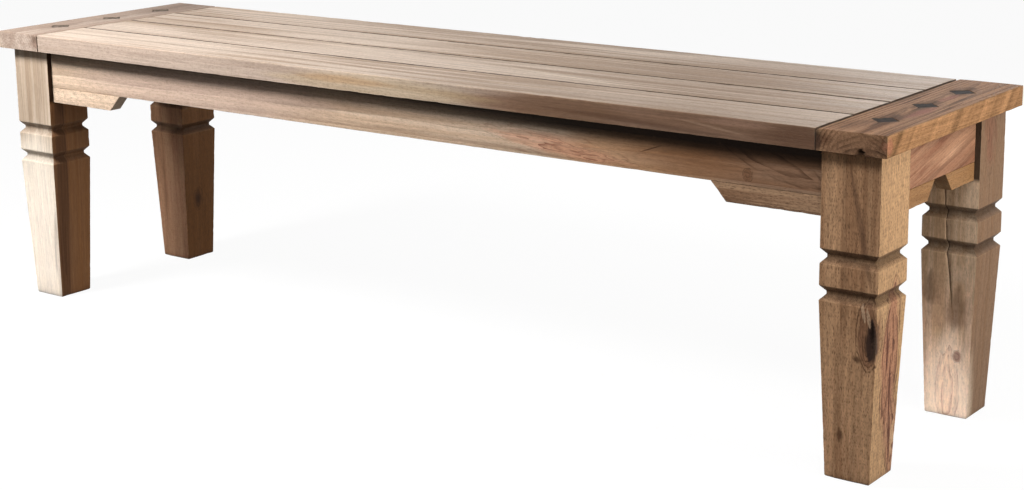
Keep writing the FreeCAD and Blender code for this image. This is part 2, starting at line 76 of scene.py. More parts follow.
# Where painted shade lies: outside an apron's face on a leg, and from a place along an apron under the seat
SHADED_CORNER_START = 27 * MM
HAIR = 0.05 * MM
OVERHANG_SHADE_START = -100 * MM
OVERHANG_SHADE_RUN = 500 * MM

# How the timber is worked and worn
SAME_POINT = 0.01 * MM
FLAT_ANGLE = math.radians(0.3)
SHARP_ANGLE = math.radians(25)
SMOOTH_ANGLE = math.radians(38)
ARRIS_SEGMENTS = 2
ARRIS_STEP = 3 * MM
WEAR_REACH = 3 * MM
WEAR_FALLOFF = 3.0
NICK_REACH = 2 * MM
NICK_SIZE = 8 * MM
NICK_START = 0.1
PLANE_WAVE = 70 * MM
GOUGE_REACH = 1.3
GOUGE_ROUNDS = 3
RAGGED_SHARE = 0.35
RAGGED_SIZE = 3 * MM
CRACK_WANDER = 0.9 * MM
CRACK_WAVE = 16 * MM
CRACK_FADE = 6

# Axes by number
X, Y, Z = 0, 1, 2

# Grain directions, as turns that lay the timber's own X axis along the piece
GRAIN_ALONG_X = (0, 0, 0)
GRAIN_ALONG_Y = (0, 0, math.pi / 2)
GRAIN_ALONG_Z = (0, -math.pi / 2, 0)


def srgb(red, green, blue):
    """A colour seen on a screen, from 0 to 255, as the linear colour that a shader takes."""
    shares = [level / 255 for level in (red, green, blue)]
    linear = [share / 12.92 if share < 0.04045 else ((share + 0.055) / 1.055) ** 2.4 for share in shares]
    return (*linear, 1)


def limit(level):
    """A level, held between 0 and 1."""
    return min(1, max(0, level))


# Meshes
def merged_copy(node):
    """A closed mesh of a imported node, with its flat faces whole again."""
    shape = bmesh.new()
    shape.from_mesh(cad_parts[node].data)
    bmesh.ops.remove_doubles(shape, verts=shape.verts, dist=SAME_POINT)
    bmesh.ops.dissolve_limit(shape, angle_limit=FLAT_ANGLE, verts=shape.verts, edges=shape.edges)
    return shape


def ease_arrises(shape, width, shortest):
    """Round the sharp edges longer than the shortest, and give where they ran."""
    edges = []
    for edge in shape.edges:
        if len(edge.link_faces) == 2 and edge.calc_length() > shortest:
            if edge.calc_face_angle() > SHARP_ANGLE:
                edges.append(edge)
    arrises = [(edge.verts[0].co.copy(), edge.verts[1].co.copy()) for edge in edges]
    bmesh.ops.bevel(shape, geom=edges, offset=width, offset_type="OFFSET", segments=ARRIS_SEGMENTS,
                    profile=0.5, affect="EDGES", material=-1, clamp_overlap=True)
    return arrises


def cut_flat(shape, faces, place, normal):
    """Add a straight cut line across some faces without taking anything away."""
    edges = {edge for face in faces for edge in face.edges}
    verts = {vert for face in faces for vert in face.verts}
    bmesh.ops.bisect_plane(shape, geom=list(verts) + list(edges) + list(faces), dist=SAME_POINT,
                           plane_co=place, plane_no=normal)


def slice_along(shape, axis, step):
    """Cut the faces into even lengths along an axis, so that they can take wear."""
    places = [vert.co[axis] for vert in shape.verts]
    low = min(places)
    reach = max(places) - low
    count = round(reach / step)
    normal = Vector((0, 0, 0))
    normal[axis] = 1
    for index in range(1, count):
        cut_flat(shape, shape.faces[:], normal * (low + reach * index / count), normal)


def arris_tree(arrises):
    """Points along the arrises, in a tree that finds the nearest one."""
    points = []
    for start, end in arrises:
        count = max(1, round((end - start).length / ARRIS_STEP))
        points += [start.lerp(end, index / count) for index in range(count + 1)]
    tree = kdtree.KDTree(len(points))
    for index, point in enumerate(points):
        tree.insert(point, index)
    tree.balance()
    return tree


def wear_down(shape, arrises, depth, nick, seed, dirt_and_shade, along):
    """Plane the faces unevenly and nick the arrises; keep on every point its wear, its dirt and painted
    shade, and its facing.
    """
    wear = shape.verts.layers.float.new("wear")
    grime_and_shade = shape.verts.layers.float.new("grime_and_shade")
    end_grain = shape.verts.layers.float.new("end_grain")
    right_face = shape.verts.layers.float.new("right_face")
    front_face = shape.verts.layers.float.new("front_face")
    tree = arris_tree(arrises)
    shape.normal_update()
    drift = Vector((seed, 2 * seed, 3 * seed))
    moves = []
    for vert in shape.verts:
        distance = tree.find(vert.co)[2]
        vert[wear] = limit(1 - distance / WEAR_REACH)
        vert[grime_and_shade] = dirt_and_shade(vert.co)
        vert[end_grain] = limit(2 * abs(vert.normal[along]) - 1)
        vert[right_face] = limit(2 * vert.normal.x - 0.6)
        vert[front_face] = limit(-2 * vert.normal.y - 0.6)
        plane = (1 + noise.noise(vert.co / PLANE_WAVE + drift)) / 2
        bite = limit(noise.noise(vert.co / NICK_SIZE + drift) - NICK_START)
        moves.append(vert.normal * -(depth * plane + nick * bite * limit(1 - distance / NICK_REACH)))
    for vert, move in zip(shape.verts, moves):
        vert.co += move


def distance_to(point, start, end):
    """How far a point is from a straight edge."""
    share = geometry.intersect_point_line(point, start, end)[1]
    return (point - start.lerp(end, limit(share))).length


def gouge(shape, centre, size, push):
    """Press a small hollow into the surface, on a mesh made finer there first."""
    centre = Vector(centre)
    reach = GOUGE_REACH * max(size)
    for _ in range(GOUGE_ROUNDS):
        edges = [edge for edge in shape.edges
                 if distance_to(centre, edge.verts[0].co, edge.verts[1].co) < reach]
        bmesh.ops.subdivide_edges(shape, edges=edges, cuts=1, use_grid_fill=True)
    grime_and_shade = shape.verts.layers.float["grime_and_shade"]
    for vert in shape.verts:
        offset = vert.co - centre
        share = math.sqrt(sum((offset[axis] / size[axis]) ** 2 for axis in range(3)))
        share += RAGGED_SHARE * noise.noise(vert.co / RAGGED_SIZE)
        if share < 1:
            vert.co += Vector(push) * (1 - share ** 2)
            vert[grime_and_shade] = max(vert[grime_and_shade], 1 - share ** 2)


def crack_place(path, height):
    """Where along X a crack is at a height, on the straight runs between the points of its path."""
    for (upper_x, upper_z), (lower_x, lower_z) in zip(path, path[1:]):
        if lower_z <= height <= upper_z:
            return upper_x + (lower_x - upper_x) * (upper_z - height) / (upper_z - lower_z)
    return None


def cut_crack(shape, path, width, depth):
    """Open a crack down the faces that look to the front."""
    for (upper_x, upper_z), (lower_x, lower_z) in zip(path, path[1:]):
        run = Vector((lower_x - upper_x, 0, lower_z - upper_z)).normalized()
        normal = Vector((run.z, 0, -run.x))
        for share in (-0.5, 0, 0.5):
            shape.normal_update()
            front = [face for face in shape.faces
                     if face.normal.y < -0.4 and lower_z < face.calc_center_median().z < upper_z]
            cut_flat(shape, front, Vector((upper_x, 0, upper_z)) + normal * width * share, normal)
    grime_and_shade = shape.verts.layers.float["grime_and_shade"]
    shape.normal_update()
    top, bottom = path[0][1], path[-1][1]
    for vert in shape.verts:
        place = crack_place(path, vert.co.z)
        if place is None or vert.normal.y > -0.3 or abs(vert.co.x - place) > 0.7 * width:
            continue
        middle = abs(vert.co.x - place) < 0.2 * width
        vert.co.x += CRACK_WANDER * noise.noise(Vector((0, 0, vert.co.z / CRACK_WAVE)))
        if middle:
            height = (vert.co.z - bottom) / (top - bottom)
            fade = limit(CRACK_FADE * height) * limit(CRACK_FADE * (1 - height))
            vert.co.y += depth * fade
            vert[grime_and_shade] = fade


def add_piece(name, shape, node, slot, *materials):
    """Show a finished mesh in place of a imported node."""
    mesh = bpy.data.meshes.new(name)
    shape.to_mesh(mesh)
    shape.free()
    for material in materials:
        mesh.materials.append(material)
    mesh.shade_smooth()
    mesh.set_sharp_from_angle(angle=SMOOTH_ANGLE)
    piece = bpy.data.objects.new(name, mesh)
    scene.collection.objects.link(piece)
    flat_faces = piece.modifiers.new("flat_faces", "WEIGHTED_NORMAL")
    flat_faces.keep_sharp = True
    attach(piece, "root")
    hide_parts(node)
    return piece


# Shader nodes
def connect(tree, node, inputs):
    """Give each input of a node its value, or a link from another node."""
    for name, content in inputs.items():
        if isinstance(content, bpy.types.NodeSocket):
            tree.links.new(content, node.inputs[name])
        else:
            node.inputs[name].default_value = content


def add_node(tree, kind, inputs=None, **settings):
    node = tree.nodes.new(kind)
    for name, setting in settings.items():
        setattr(node, name, setting)
    connect(tree, node, inputs or {})
    return node


def calculate(tree, operation, first, second=0.0):
    return add_node(tree, "ShaderNodeMath", {0: first, 1: second}, operation=operation).outputs[0]


def product(tree, first, second):
    return calculate(tree, "MULTIPLY", first, second)


def scaled(tree, vector, scale):
    return add_node(tree, "ShaderNodeVectorMath", {0: vector, 1: scale}, operation="MULTIPLY").outputs[0]


def shifted(tree, vector, shift):
    return add_node(tree, "ShaderNodeVectorMath", {0: vector, 1: shift}, operation="ADD").outputs[0]


def noise_at(tree, vector, scale, detail, roughness=0.5):
    """Noise on stretched coordinates: along the grain, then twice across it."""
    inputs = {"Vector": scaled(tree, vector, scale), "Scale": 1.0, "Detail": detail, "Roughness": roughness}
    return add_node(tree, "ShaderNodeTexNoise", inputs)


def ramp(tree, level, low, high):
    """A smooth step from 0 at the low level to 1 at the high one."""
    inputs = {"Value": level, "From Min": low, "From Max": high}
    return add_node(tree, "ShaderNodeMapRange", inputs, interpolation_type="SMOOTHSTEP").outputs["Result"]


def blend(tree, share, first, second):
    """The second colour over the first, by a share."""
    node = add_node(tree, "ShaderNodeMix", data_type="RGBA")
    connect(tree, node, {0: share, 6: first, 7: second})
    return node.outputs[2]


def swing(tree, level, strength):
    """A level about one half, turned into a light or dark swing about nothing."""
    return product(tree, calculate(tree, "SUBTRACT", level, 0.5), strength)


def new_group(name, inputs, outputs):
    """A node group with named sockets, and the nodes at its two ends."""
    tree = bpy.data.node_groups.new(name, "ShaderNodeTree")
    for direction, sockets in (("INPUT", inputs), ("OUTPUT", outputs)):
        for label, kind in sockets.items():
            tree.interface.new_socket(label, in_out=direction, socket_type=f"NodeSocket{kind}")
    return tree, tree.nodes.new("NodeGroupInput"), tree.nodes.new("NodeGroupOutput")


def wobble(tree, vector, scale, reach):
    """The same vector, pushed about by noise as far as the reach."""
    push = noise_at(tree, vector, scale, 2.0).outputs["Color"]
    centred = shifted(tree, push, (-0.5, -0.5, -0.5))
    step = add_node(tree, "ShaderNodeVectorMath", {0: centred, "Scale": reach}, operation="SCALE")
    return shifted(tree, vector, step.outputs[0])


def pores_at(tree, vector, scale, share):
    """Short open pores, as dashes along the grain in some of the cells."""
    cells = add_node(tree, "ShaderNodeTexVoronoi", {"Vector": scaled(tree, vector, scale), "Scale": 1.0})
    chance = add_node(tree, "ShaderNodeSeparateColor", {0: cells.outputs["Color"]}).outputs[0]
    open_cell = ramp(tree, chance, share + 0.1, share - 0.1)
    return product(tree, open_cell, ramp(tree, cells.outputs["Distance"], 0.52, 0.14))


def make_timber():
    """Growth rings, fibres and open pores of timber that grows along X round the X axis."""
    inputs = {"Position": "Vector", "Seed": "Float", "Pale": "Color", "Main": "Color", "Dark": "Color",
              "Rings": "Float", "Ring Width": "Float", "Wander": "Float", "Fibre": "Float",
              "Pores": "Float", "Mottle": "Float", "Ripple": "Float"}
    outputs = {"Color": "Color", "Shade": "Float", "Pore": "Float", "Roughness": "Float", "Height": "Float"}
    tree, start, end = new_group("timber", inputs, outputs)
    given = start.outputs
    along = add_node(tree, "ShaderNodeCombineXYZ", {"X": given["Seed"]}).outputs[0]
    place = shifted(tree, given["Position"], along)
    grain = wobble(tree, place, (1.3, 7, 7), product(tree, given["Wander"], 2.0))
    grain = wobble(tree, grain, (9, 45, 45), product(tree, given["Wander"], 0.2))

    # the wave texture's rings are pi / 10 apart at a scale of 1
    ring_scale = calculate(tree, "DIVIDE", math.pi / 10, given["Ring Width"])
    rings = add_node(tree, "ShaderNodeTexWave", {"Vector": grain, "Scale": ring_scale, "Distortion": 0.0},
                     wave_type="RINGS", rings_direction="X", wave_profile="SAW")
    late_wood = ramp(tree, rings.outputs["Fac"], 0.4, 1.0)
    ring_drift = ramp(tree, noise_at(tree, place, (0.9, 12, 12), 2.0).outputs["Fac"], 0.3, 0.65)
    late_wood = product(tree, late_wood, ring_drift)

    fibres = noise_at(tree, grain, (6, 330, 330), 4.0, 0.7).outputs["Fac"]
    streaks = noise_at(tree, grain, (1.3, 70, 70), 4.0, 0.65).outputs["Fac"]
    patches = noise_at(tree, place, (1.8, 10, 10), 2.0).outputs["Fac"]
    slant = add_node(tree, "ShaderNodeVectorMath", {0: place, 1: (34, 0, -30)}, operation="DOT_PRODUCT")
    bar_place = add_node(tree, "ShaderNodeCombineXYZ", {"X": slant.outputs["Value"]}).outputs[0]
    bars = noise_at(tree, bar_place, (1, 1, 1), 2.0).outputs["Fac"]
    flecks = noise_at(tree, grain, (95, 420, 420), 2.0, 0.6).outputs["Fac"]
    fine_pores = pores_at(tree, grain, (230, 900, 900), 0.6)
    wide_pores = pores_at(tree, grain, (130, 560, 560), 0.3)
    pore = calculate(tree, "MAXIMUM", fine_pores, wide_pores)

    tone = calculate(tree, "ADD", product(tree, streaks, 0.5), product(tree, patches, 0.5))
    colour = blend(tree, ramp(tree, tone, 0.43, 0.58), given["Pale"], given["Main"])
    colour = blend(tree, product(tree, late_wood, given["Rings"]), colour, given["Dark"])
    shade = calculate(tree, "ADD", swing(tree, fibres, given["Fibre"]), swing(tree, bars, given["Ripple"]))
    shade = calculate(tree, "ADD", shade, swing(tree, flecks, given["Mottle"]))

    roughness = calculate(tree, "ADD", product(tree, pore, 0.15), product(tree, fibres, 0.2))
    relief = calculate(tree, "SUBTRACT", product(tree, fibres, 0.5), pore)
    relief = calculate(tree, "ADD", relief, product(tree, late_wood, 0.25))
    tree.links.new(colour, end.inputs["Color"])
    tree.links.new(calculate(tree, "ADD", shade, 1.0), end.inputs["Shade"])
    tree.links.new(product(tree, pore, given["Pores"]), end.inputs["Pore"])
    tree.links.new(calculate(tree, "ADD", roughness, 0.42), end.inputs["Roughness"])
    tree.links.new(relief, end.inputs["Height"])
    return tree


def make_figure():
    """A flame or knot: nested contour lines round a middle, one unit long, pointed along one axis."""
    inputs = {"Position": "Vector", "Along": "Vector", "Across": "Vector", "Wobble": "Float",
              "Lines": "Float", "Softness": "Float"}
    outputs = {"Mask": "Float", "Contours": "Float", "Outline": "Float"}
    tree, start, end = new_group("figure", inputs, outputs)
    given = start.outputs
    place = wobble(tree, given["Position"], (1.6, 1.6, 1.6), given["Wobble"])
    across = scaled(tree, place, given["Across"])
    side = add_node(tree, "ShaderNodeVectorMath", {0: across}, operation="LENGTH").outputs["Value"]
    tip = add_node(tree, "ShaderNodeVectorMath", {0: place, 1: given["Along"]}, operation="DOT_PRODUCT")
    tip = tip.outputs["Value"]
    reach = calculate(tree, "ADD", side, product(tree, tip, tip))
    mask = ramp(tree, reach, 1.0, calculate(tree, "SUBTRACT", 1.0, given["Softness"]))
    turns = calculate(tree, "FRACT", product(tree, reach, given["Lines"]))
    broken = ramp(tree, noise_at(tree, given["Position"], (2.5, 2.5, 2.5), 2.0).outputs["Fac"], 0.3, 0.6)
    contours = product(tree, product(tree, ramp(tree, turns, 0.4, 1.0), mask), broken)
    off_edge = calculate(tree, "ABSOLUTE", calculate(tree, "SUBTRACT", reach, 0.97))
    tree.links.new(mask, end.inputs["Mask"])
    tree.links.new(contours, end.inputs["Contours"])
    outline = product(tree, ramp(tree, off_edge, 0.1, 0.0), broken)
    tree.links.new(outline, end.inputs["Outline"])
    return tree


timber = make_timber()
figure = make_figure()
# soot colour for dirt, and for painted shade in corners and under the seat
SOOT_AND_SHADE = srgb(32, 22, 16)
DIRT_AND_SHADE_SHARE = 0.97
SMEAR_SCALE = (40, 40, 40)
WORN_WOOD = srgb(214, 184, 146)
WEAR_SHARE = 0.25
RUB_SCALE = (90, 90, 90)
GRAIN_BUMP = 0.4
GRAIN_RELIEF = 0.5 * MM


class Wood:
    """One brushed timber, built up from its grain to its local figure, wear and dirt."""

    def __init__(self, name, heart, grain, tones, seed, rings=0.5, ring_width=9 * MM, wander=8 * MM,
                 fibre=0.7, pores=0.5, mottle=0.4):
        self.material = bpy.data.materials.new(name)
        self.material.use_nodes = True
        self.tree = self.material.node_tree
        self.shader = self.tree.nodes["Principled BSDF"]
        self.place = add_node(self.tree, "ShaderNodeTexCoord").outputs["Object"]
        pale, main, dark = tones
        self.dark = dark
        inputs = {"Position": self.mapped(heart, grain), "Seed": seed,
                  "Pale": pale, "Main": main, "Dark": dark,
                  "Rings": rings, "Ring Width": ring_width, "Wander": wander, "Fibre": fibre,
                  "Pores": pores, "Mottle": mottle, "Ripple": 0.0}
        self.grown = add_node(self.tree, "ShaderNodeGroup", node_tree=timber)
        connect(self.tree, self.grown, inputs)
        self.colour = self.grown.outputs["Color"]

    def mapped(self, location, turn, size=(1, 1, 1)):
        """Coordinates from a place on the piece, turned and in units of a size."""
        inputs = {"Vector": self.place, "Location": location, "Rotation": turn, "Scale": size}
        return add_node(self.tree, "ShaderNodeMapping", inputs, vector_type="TEXTURE").outputs[0]

    def kept(self, name):
        """What the mesh keeps on its points under a name."""
        return add_node(self.tree, "ShaderNodeAttribute", attribute_name=name).outputs["Fac"]

    def add_figure(self, centre, size, fill, line=None, tilt=(0, 0, 0), lines=3.0, wobble=0.5,
                   softness=0.35, strength=0.8, contour=0.55, outline=0.4, face=None):
        """Lay a flame or a knot on the colour, all over or only on the faces that look one way."""
        turn = [math.radians(angle) for angle in tilt]
        along = Vector([1 if reach == max(size) else 0 for reach in size])
        across = Vector((1, 1, 1)) - along
        shape = add_node(self.tree, "ShaderNodeGroup", node_tree=figure)
        connect(self.tree, shape, {"Position": self.mapped(centre, turn, size), "Along": along,
                                   "Across": across, "Wobble": wobble, "Lines": lines,
                                   "Softness": softness})
        layers = [("Mask", fill, strength)]
        if line:
            layers += [("Contours", line, contour), ("Outline", line, outline)]
        for label, colour, share in layers:
            amount = product(self.tree, shape.outputs[label], share)
            if face:
                amount = product(self.tree, amount, self.kept(face))
            self.colour = blend(self.tree, amount, self.colour, colour)

    def add_stain(self, centre, size, colour, strength=0.8, softness=0.9, wobble=0.8, tilt=(0, 0, 0),
                  face=None):
        """Lay a soft patch of one colour on the wood, without lines."""
        self.add_figure(centre, size, colour, tilt=tilt, wobble=wobble, softness=softness,
                        strength=strength, face=face)

    def paint_right_side_shading(self, colour, share):
        """Change the colour on the faces that look to the right, as painted light where it is paler and
        painted shade where it is darker.
        """
        amount = product(self.tree, self.kept("right_face"), share)
        self.colour = blend(self.tree, amount, self.colour, colour)

    def ripple_right(self, strength):
        """Ripple the grain on the faces that look to the right."""
        connect(self.tree, self.grown, {"Ripple": product(self.tree, self.kept("right_face"), strength)})

    def finish(self, end_share=0.5, specular=0.07):
        """Add fibres and pores, darken the end grain, wear the arrises, and darken where the mesh keeps
        dirt and painted shade.
        """
        tree = self.tree
        grown = self.grown.outputs
        fibrous = add_node(tree, "ShaderNodeVectorMath", {0: self.colour, "Scale": grown["Shade"]},
                           operation="SCALE")
        self.colour = blend(tree, grown["Pore"], fibrous.outputs[0], self.dark)
        end_grain = product(tree, self.kept("end_grain"), end_share)
        self.colour = blend(tree, end_grain, self.colour, self.dark)
        edge = calculate(tree, "POWER", self.kept("wear"), WEAR_FALLOFF)
        rub = ramp(tree, noise_at(tree, self.place, RUB_SCALE, 3.0).outputs["Fac"], 0.35, 0.7)
        worn = product(tree, product(tree, edge, rub), WEAR_SHARE)
        self.colour = blend(tree, worn, self.colour, WORN_WOOD)
        # dirt, and painted shade kept on the mesh, darken the colour towards soot
        smear = ramp(tree, noise_at(tree, self.place, SMEAR_SCALE, 3.0).outputs["Fac"], 0.0, 0.36)
        soiled_and_shaded = product(tree, product(tree, self.kept("grime_and_shade"), smear), DIRT_AND_SHADE_SHARE)
        self.colour = blend(tree, soiled_and_shaded, self.colour, SOOT_AND_SHADE)
        raised = add_node(tree, "ShaderNodeBump",
                          {"Strength": GRAIN_BUMP, "Distance": GRAIN_RELIEF, "Height": grown["Height"]})
        connect(tree, self.shader, {"Base Color": self.colour, "Roughness": grown["Roughness"],
                                    "Normal": raised.outputs[0], "Specular IOR Level": specular})
        return self.material


def middle_of(node):
    """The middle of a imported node's box."""
    low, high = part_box(node)
    return (low + high) / 2


# Dirt, and painted shade in corners and under the seat, from 0 to 1
def no_dirt(point):
    return 0.0


def seam_dirt(point):
    """In the V seams between the boards, and in the joint at their ends."""
    if abs(point.y) > HALF_WIDTH - SEAM_DEPTH or point.z < SEAT - 3 * SEAM_DEPTH:
        return 0.0
    if abs(point.x) > BOARD_END - 0.4 * MM:
        return 0.6
    return 0.84 * limit((SEAT - point.z - 0.1 * MM) / (0.4 * MM))


def joint_dirt(point):
    """On the breadboard's side of the same joint."""
    if abs(point.x) > BOARD_END + 2 * SEAM_DEPTH or point.z < SEAT - 3 * SEAM_DEPTH:
        return 0.0
    return 0.5 * limit((SEAT - point.z - 0.3 * MM) / (2 * MM))


def corner_painted_shade(point):
    """Painted shade along the top of an end apron, in the corner under the seat."""
    return 0.7 * limit(1 - (APRON_TOP - point.z) / (20 * MM))


def overhang_painted_shade(point):
    """Painted shade along the top of a long apron, under the seat's overhang, and thicker towards the
    right.
    """
    share = limit((point.x - OVERHANG_SHADE_START) / OVERHANG_SHADE_RUN)
    reach = (22 + 10 * share) * MM
    return limit((0.9 + 1.1 * share) * (1 - (APRON_TOP - point.z) / reach))


def leg_dirt_and_shade(flank):
    """Dirt and painted shade in a leg's carved grooves, painted shade in its narrow corners beside the
    aprons, and a little dirt at the floor.
    """
    def dirt_and_shade(point):
        out_x = abs(point.x) - LEG_X
        out_y = abs(point.y) - LEG_Y
        if point.z < TAPER_TOP:
            return 0.4 * limit(1 - point.z / (8 * MM))
        # painted shade in the narrow corner where a leg's face runs in beside an apron
        on_inner_face = min(out_x, out_y) < HAIR - LEG_HALF
        if on_inner_face and max(out_x, out_y) > SHADED_CORNER_START and point.z > BRACKET_BOTTOM:
            return 0.95
        # the carved grooves: dirt, darker on their flanks as painted shade
        hollow = limit((LEG_HALF - max(abs(out_x), abs(out_y))) / GROOVE_DEPTH)
        return flank * limit(8 * hollow) + 0.35 * hollow
    return dirt_and_shade


def worked(node, slices, along, arris=0.8 * MM, shortest=12 * MM, depth=0.3 * MM, nick=1.5 * MM, seed=0.0,
           dirt_and_shade=no_dirt):
    """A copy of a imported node, rounded, sliced and worn, with its grain along an axis."""
    shape = merged_copy(node)
    arrises = ease_arrises(shape, arris, shortest)
    for axis, step in slices:
        slice_along(shape, axis, step)
    wear_down(shape, arrises, depth, nick, seed, dirt_and_shade, along)
    return shape


# Tones of the timbers: pale, main and dark
TOP_TONES = (srgb(210, 192, 176), srgb(172, 150, 131), srgb(114, 91, 75))
PINK_TONES = (srgb(193, 175, 161), srgb(169, 149, 135), srgb(110, 90, 78))
BROWN_TONES = (srgb(172, 132, 102), srgb(110, 78, 58), srgb(58, 41, 32))
GOLDEN_TONES = (srgb(194, 154, 112), srgb(166, 124, 84), srgb(104, 74, 50))
APRON_TONES = (srgb(222, 197, 173), srgb(203, 175, 149), srgb(124, 96, 74))
SALMON_TONES = (srgb(192, 146, 116), srgb(150, 102, 78), srgb(92, 57, 42))
BRACKET_TONES = (srgb(184, 148, 117), srgb(138, 104, 79), srgb(84, 60, 45))
HIDDEN_TONES = (srgb(196, 164, 128), srgb(174, 138, 102), srgb(124, 92, 66))
SALMON = srgb(176, 122, 96)
RED_BROWN = srgb(118, 68, 50)
DARK_BROWN = srgb(84, 58, 42)
KNOT_BLACK = srgb(46, 34, 32)

# How far along its grain each further piece of a kind is cut
SEED_STEP = 3.1

# Top boards
BOARD_NAMES = ("front", "mid_front", "mid_back", "back")
BOARD_SLICES = ((X, 12 * MM), (Y, 17 * MM), (Z, 7 * MM))


def colour_and_shade_front_edge(board):
    """The seat's front edge, on the front face only: pale on the left, golden in the middle, brown with
    streaks on the right; the darker right is partly the wood's tone and partly painted shade.
    """
    def stain(along, height, size, colour, strength, **how):
        board.add_stain((along, -HALF_WIDTH, height), size, colour, strength, face="front_face", **how)

    stain(-0.45, 0.436, (0.5, 0.1, 0.06), srgb(174, 154, 140), 0.7, softness=0.6, wobble=0.3)
    # darker right part of the front face: brown tone and painted shade
    stain(0.72, 0.436, (0.66, 0.1, 0.06), srgb(128, 97, 77), 0.9, softness=0.4, wobble=0.3)
    stain(0.34, 0.436, (0.12, 0.1, 0.06), srgb(98, 69, 46), 0.4, wobble=0.4)
    stain(0.7, 0.434, (0.1, 0.1, 0.06), srgb(88, 58, 42), 0.5, wobble=0.4)
    stain(0.6, 0.444, (0.07, 0.02, 0.008), srgb(164, 130, 110), 0.5)
    stain(-0.04, 0.438, (0.12, 0.02, 0.009), srgb(190, 138, 96), 0.5, softness=0.8)
    stain(0.02, 0.434, (0.26, 0.06, 0.022), srgb(190, 166, 130), 0.5, softness=0.7, wobble=0.5)
    stain(0.563, 0.435, (0.07, 0.01, 0.0025), srgb(172, 142, 118), 0.5, tilt=(0, 6.5, 0))
    stain(0.46, 0.43, (0.2, 0.02, 0.006), srgb(82, 58, 45), 0.5, tilt=(0, 2, 0), wobble=1.0)


for index, name in enumerate(BOARD_NAMES):
    node = f"top_board_{name}"
    sway = 30 * MM if index % 2 else -25 * MM
    heart = middle_of(node) + Vector((0, sway, -60 * MM))
    board = Wood(node, heart, GRAIN_ALONG_X, TOP_TONES, SEED_STEP * index, rings=0.4, ring_width=7 * MM,
                 pores=0.3, fibre=0.9)
    # every board is browner towards the right
    browner = middle_of(node) + Vector((0.6, 0, 0))
    board.add_stain(browner, (0.5, 0.09, 0.05), srgb(150, 124, 103), 0.45, wobble=0.4)
    if name == "front":
        colour_and_shade_front_edge(board)
    if name == "mid_front":
        # a pale streak across the grain
        board.add_stain((0.25, -0.068, SEAT), (0.15, 0.008, 0.01), srgb(216, 200, 182), 0.7,
                        tilt=(0, 0, -9.3), wobble=0.6)
    shape = worked(node, BOARD_SLICES, X, arris=0.6 * MM, seed=index, dirt_and_shade=seam_dirt)
    add_piece(f"dressed_{node}", shape, node, "top_wood", board.finish(specular=0.04))

# Breadboard ends
DIAMOND_SPACING = 114 * MM
BREADBOARD_SLICES = ((Y, 14 * MM), (X, 16 * MM), (Z, 7 * MM))


def stain_round_iron(board, middle, strength):
    """The wood is stained round each iron diamond and along the grain from it."""
    for step in (-1, 0, 1):
        spot = Vector((middle.x, step * DIAMOND_SPACING, SEAT))
        board.add_stain(spot, (0.03, 0.05, 0.012), srgb(76, 56, 46), strength, wobble=1.2)
        board.add_stain(spot + Vector((0, 0.01, 0)), (0.008, 0.085, 0.012), srgb(56, 40, 34), strength,
                        tilt=(0, 0, 6), wobble=1.4)


def colour_left_breadboard(board):
    """Greyer beside the joint and towards the back."""
    board.add_stain((-0.712, -0.2, 0.438), (0.012, 0.05, 0.02), srgb(136, 112, 98))
    board.add_stain((-0.753, 0.17, SEAT), (0.09, 0.15, 0.03), srgb(132, 114, 102), 0.6, wobble=0.4)


def colour_right_breadboard(board):
    """Dark streaks and red patches on top, a golden rippled right edge made paler by painted light, and
    rings on the front end.
    """
    board.add_stain((0.735, -0.165, SEAT), (0.03, 0.045, 0.01), srgb(92, 66, 52), 0.5, wobble=0.9)
    for across, along in ((0.724, 0.03), (0.776, 0.055), (0.787, -0.01), (0.742, -0.08)):
        board.add_stain((across, along, SEAT), (0.004, 0.07, 0.01), srgb(70, 48, 38), tilt=(0, 0, 2),
                        wobble=1.4)
    # the face that looks right is painted paler and golden, as painted light
    board.paint_right_side_shading(srgb(188, 142, 100), 0.65)
    board.ripple_right(2.4)
    board.add_figure((0.775, -0.206, 0.402), (0.09, 0.03, 0.06), srgb(130, 100, 78), srgb(48, 32, 26),
                     lines=8.0, wobble=0.2, softness=0.6, strength=0.5, contour=0.8, outline=0.0,
                     face="front_face")
    board.add_figure((0.8, -0.198, 0.436), (0.012, 0.01, 0.013), SALMON, RED_BROWN, softness=0.4)
    board.add_stain((0.708, -0.206, 0.434), (0.008, 0.012, 0.016), srgb(66, 48, 42), softness=0.7,
                    wobble=0.5)
    board.add_stain((0.77, -0.045, SEAT), (0.014, 0.06, 0.01), srgb(150, 100, 86))
    board.add_stain((0.757, 0.062, SEAT), (0.01, 0.04, 0.01), srgb(158, 110, 94))


def show_breadboard(name, heart, tones, seed, wear_seed, rings, iron_stain):
    """The wood and the worn shape of one breadboard end; only the right one has a chip under its front."""
    node = f"breadboard_{name}"
    middle = middle_of(node)
    board = Wood(node, middle + Vector(heart), GRAIN_ALONG_Y, tones, seed, rings=rings, ring_width=5 * MM,
                 fibre=1.3, pores=0.35)
    stain_round_iron(board, middle, iron_stain)
    shape = worked(node, BREADBOARD_SLICES, Y, seed=wear_seed, dirt_and_shade=joint_dirt)
    if name == "left":
        colour_left_breadboard(board)
    else:
        colour_right_breadboard(board)
        gouge(shape, (0.766, -0.206, 0.424), (0.006, 0.006, 0.007), (0, 0.004, 0.003))
    add_piece(f"dressed_{node}", shape, node, "top_wood", board.finish(end_share=0.1, specular=0.004))


show_breadboard("left", (-15 * MM, 0, -24 * MM), PINK_TONES, 20, 10, rings=0.25, iron_stain=0.2)
show_breadboard("right", (15 * MM, 0, -24 * MM), BROWN_TONES, 20 + SEED_STEP, 11, rings=0.7, iron_stain=0.6)

# Legs
LEG_SLICES = ((Z, 6 * MM), (X, 12 * MM), (Y, 12 * MM))


